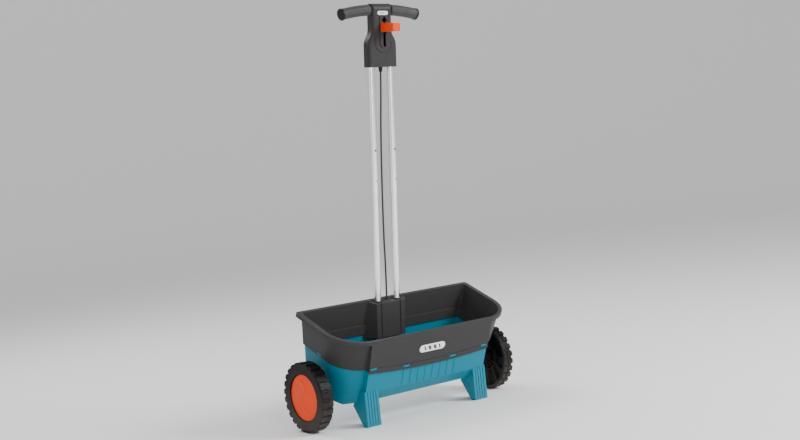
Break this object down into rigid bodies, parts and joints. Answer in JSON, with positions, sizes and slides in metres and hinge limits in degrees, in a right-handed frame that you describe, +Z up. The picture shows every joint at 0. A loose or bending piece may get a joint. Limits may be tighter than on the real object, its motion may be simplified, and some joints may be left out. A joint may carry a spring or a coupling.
{
  "type": "garden drop spreader",
  "caption": "Push drop spreader: tilted hopper on two spoked-dish wheels and two feet, telescopic twin-tube T-handle, cable-worked dosing shutter.",
  "frame": {"origin": "centre of the footprint on the ground, below the middle of the object", "axes": "+X along the axle towards the right wheel, -Y towards the side with the feet and the front badge, +Z up"},
  "size_m": [0.704, 0.2717, 1.1855],
  "materials": {
    "teal_plastic": "satin moulded polypropylene",
    "grey_plastic": "fine-textured moulded polypropylene",
    "black_plastic": "moulded",
    "grip_plastic": "soft-touch",
    "orange_plastic": "satin moulded",
    "tube_aluminium": "satin drawn",
    "steel": "zinc plated",
    "spring_steel": "bright",
    "bush_plastic": "natural acetal",
    "cable_black": "satin sheath",
    "badge_white": "gloss"
  },
  "bodies": {
    "hopper": {"hopper_tub": "teal_plastic", "hopper_collar": "grey_plastic", "front_badge": "badge_white", "axle_bush_left": "bush_plastic", "axle_bush_right": "bush_plastic", "lower_tube_left": "tube_aluminium", "lower_tube_right": "tube_aluminium", "tube_plug_left": "bush_plastic", "tube_plug_right": "bush_plastic", "snap_clip_left": "spring_steel", "snap_clip_right": "spring_steel", "cable_sleeve": "cable_black", "inner_wire": "steel", "cable_ferrule": "steel", "crank_pin": "steel"},
    "drive_axle": {"axle": "steel", "drive_pin": "steel", "agitator": "black_plastic", "wheel_left": "black_plastic", "wheel_cap_left": "orange_plastic", "axle_clips": "spring_steel"},
    "free_wheel": {"wheel_right": "black_plastic", "wheel_cap_right": "orange_plastic"},
    "handle_top": {"upper_tube_left": "tube_aluminium", "upper_tube_right": "tube_aluminium", "head_front": "grey_plastic", "head_rear": "grey_plastic", "head_screws": "steel", "head_badge": "badge_white", "grip_bar": "steel", "grip_left": "grip_plastic", "grip_right": "grip_plastic", "grip_cap_left": "grip_plastic", "grip_cap_right": "grip_plastic", "cable_grommet": "cable_black"},
    "lever": {"dosing_lever": "orange_plastic", "lever_carriage": "bush_plastic", "detent_spring": "spring_steel", "wire_nipple": "steel"},
    "crank": {"shutter_crank": "black_plastic"},
    "shutter": {"dosing_slide": "black_plastic"}
  },
  "joints": [
    {"name": "axle_spin", "type": "hinge", "parent": "hopper", "child": "drive_axle", "pos_m": [0, 0.03593, 0.1], "axis": [1, 0, 0], "continuous": true},
    {"name": "free_wheel_spin", "type": "hinge", "parent": "drive_axle", "child": "free_wheel", "pos_m": [0.334, 0.03593, 0.1], "axis": [1, 0, 0], "continuous": true},
    {"name": "handle_height", "type": "slide", "parent": "hopper", "child": "handle_top", "axis": [0, -0.1236, 0.9923], "range_m": [-0.0874, 0], "deforming": ["cable_sleeve", "inner_wire", "snap_clip_left", "snap_clip_right"]},
    {"name": "dosing_lever", "type": "slide", "parent": "handle_top", "child": "lever", "axis": [0, -0.1236, 0.9923], "range_m": [-0.04, 0.02], "deforming": ["inner_wire", "detent_spring"]},
    {"name": "crank_turn", "type": "hinge", "parent": "hopper", "child": "crank", "pos_m": [0.04492, 0.10673, 0.08847], "axis": [0, 0.9239, 0.3827], "range_deg": [-50, 25]},
    {"name": "shutter_slide", "type": "slide", "parent": "hopper", "child": "shutter", "axis": [1, 0, 0], "range_m": [-0.0085, 0.0042]}
  ],
  "couplings": [
    {"joint": "crank_turn", "follows": "dosing_lever", "rad_per_m": 21.739},
    {"joint": "shutter_slide", "follows": "dosing_lever", "ratio": 0.20364}
  ]
}
